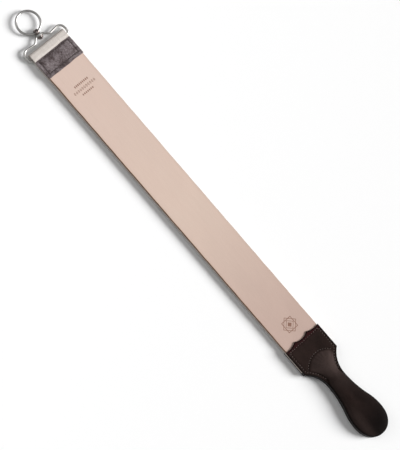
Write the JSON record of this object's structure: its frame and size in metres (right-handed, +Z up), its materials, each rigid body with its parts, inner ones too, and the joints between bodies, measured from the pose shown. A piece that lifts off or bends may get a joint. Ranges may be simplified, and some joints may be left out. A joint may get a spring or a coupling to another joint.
{
  "type": "hanging strop",
  "caption": "Hanging razor strop: leather strap over linen webbing, padded leather handle at one end, wire bail with swivel and hanging ring at the other.",
  "frame": {"origin": "centre of the strop's length and width, on the surface that it lies on", "axes": "+X along the strop from the ring to the handle, +Y across it, +Z up out of the leather face"},
  "size_m": [0.607, 0.0596, 0.0136],
  "materials": {
    "nickel_ring": "bright nickel plate with fine handling scratches",
    "nickel_swivel": "bright nickel plate, darker in the turned recesses",
    "nickel_bail": "bright nickel plate on bent wire",
    "patch_suede": "mottled grey-brown suede, matt nap",
    "patch_thread": "dark waxed thread",
    "strop_leather": "smooth vegetable-tanned leather, pale pink-tan, satin",
    "linen_webbing": "natural linen webbing, plain weave",
    "handle_leather": "dark brown smooth leather, satin, burnished edges",
    "stiffener_board": "leather fibre board",
    "felt_pad": "pressed felt",
    "handle_thread": "brown waxed thread"
  },
  "bodies": {
    "handle": {"handle_front_cover": "handle_leather", "handle_back_cover": "handle_leather", "handle_stiffener": "stiffener_board", "handle_pad": "felt_pad", "handle_seam_thread": "handle_thread", "grip_seam_thread": "handle_thread", "leather_strap_1": "strop_leather", "linen_strap_1": "linen_webbing"},
    "strap_2": {"leather_strap_2": "strop_leather", "linen_strap_2": "linen_webbing"},
    "strap_3": {"leather_strap_3": "strop_leather", "linen_strap_3": "linen_webbing"},
    "strap_4": {"leather_strap_4": "strop_leather", "linen_strap_4": "linen_webbing"},
    "strap_5": {"leather_strap_5": "strop_leather", "linen_strap_5": "linen_webbing"},
    "strap_6": {"leather_strap_6": "strop_leather", "linen_strap_6": "linen_webbing"},
    "strap_end": {"leather_strap_7": "strop_leather", "linen_strap_7": "linen_webbing", "suede_patch": "patch_suede", "patch_thread": "patch_thread"},
    "bail": {"wire_bail": "nickel_bail"},
    "swivel": {"swivel_eye": "nickel_swivel", "swivel_head": "nickel_swivel"},
    "ring": {"hanging_ring": "nickel_ring"}
  },
  "joints": [
    {"name": "strap_curl", "type": "hinge", "parent": "handle", "child": "strap_2", "pos_m": [0.13198, 0, 0.0066], "axis": [0, 1, 0], "range_deg": [0, 20]},
    {"name": "strap_curl_2", "type": "hinge", "parent": "strap_2", "child": "strap_3", "pos_m": [0.06692, 0, 0.0066], "axis": [0, 1, 0], "range_deg": [0, 20]},
    {"name": "strap_curl_3", "type": "hinge", "parent": "strap_3", "child": "strap_4", "pos_m": [0.00187, 0, 0.0066], "axis": [0, 1, 0], "range_deg": [0, 20]},
    {"name": "strap_curl_4", "type": "hinge", "parent": "strap_4", "child": "strap_5", "pos_m": [-0.06317, 0, 0.0066], "axis": [0, 1, 0], "range_deg": [0, 20]},
    {"name": "strap_curl_5", "type": "hinge", "parent": "strap_5", "child": "strap_6", "pos_m": [-0.12823, 0, 0.0066], "axis": [0, 1, 0], "range_deg": [0, 20]},
    {"name": "strap_curl_6", "type": "hinge", "parent": "strap_6", "child": "strap_end", "pos_m": [-0.19328, 0, 0.0066], "axis": [0, 1, 0], "range_deg": [0, 20]},
    {"name": "bail_fold", "type": "hinge", "parent": "strap_end", "child": "bail", "pos_m": [-0.2532, 0, 0.0038], "axis": [0, 1, 0], "range_deg": [0, 120]},
    {"name": "swivel_turn", "type": "hinge", "parent": "bail", "child": "swivel", "pos_m": [-0.2705, 0, 0.0038], "axis": [1, 0, 0], "continuous": true},
    {"name": "ring_swing", "type": "hinge", "parent": "swivel", "child": "ring", "pos_m": [-0.27485, 0, 0.0038], "axis": [0, 1, 0], "range_deg": [0, 85]}
  ],
  "couplings": [
    {"joint": "strap_curl_2", "follows": "strap_curl", "ratio": 1},
    {"joint": "strap_curl_3", "follows": "strap_curl", "ratio": 1},
    {"joint": "strap_curl_4", "follows": "strap_curl", "ratio": 1},
    {"joint": "strap_curl_5", "follows": "strap_curl", "ratio": 1},
    {"joint": "strap_curl_6", "follows": "strap_curl", "ratio": 1}
  ]
}
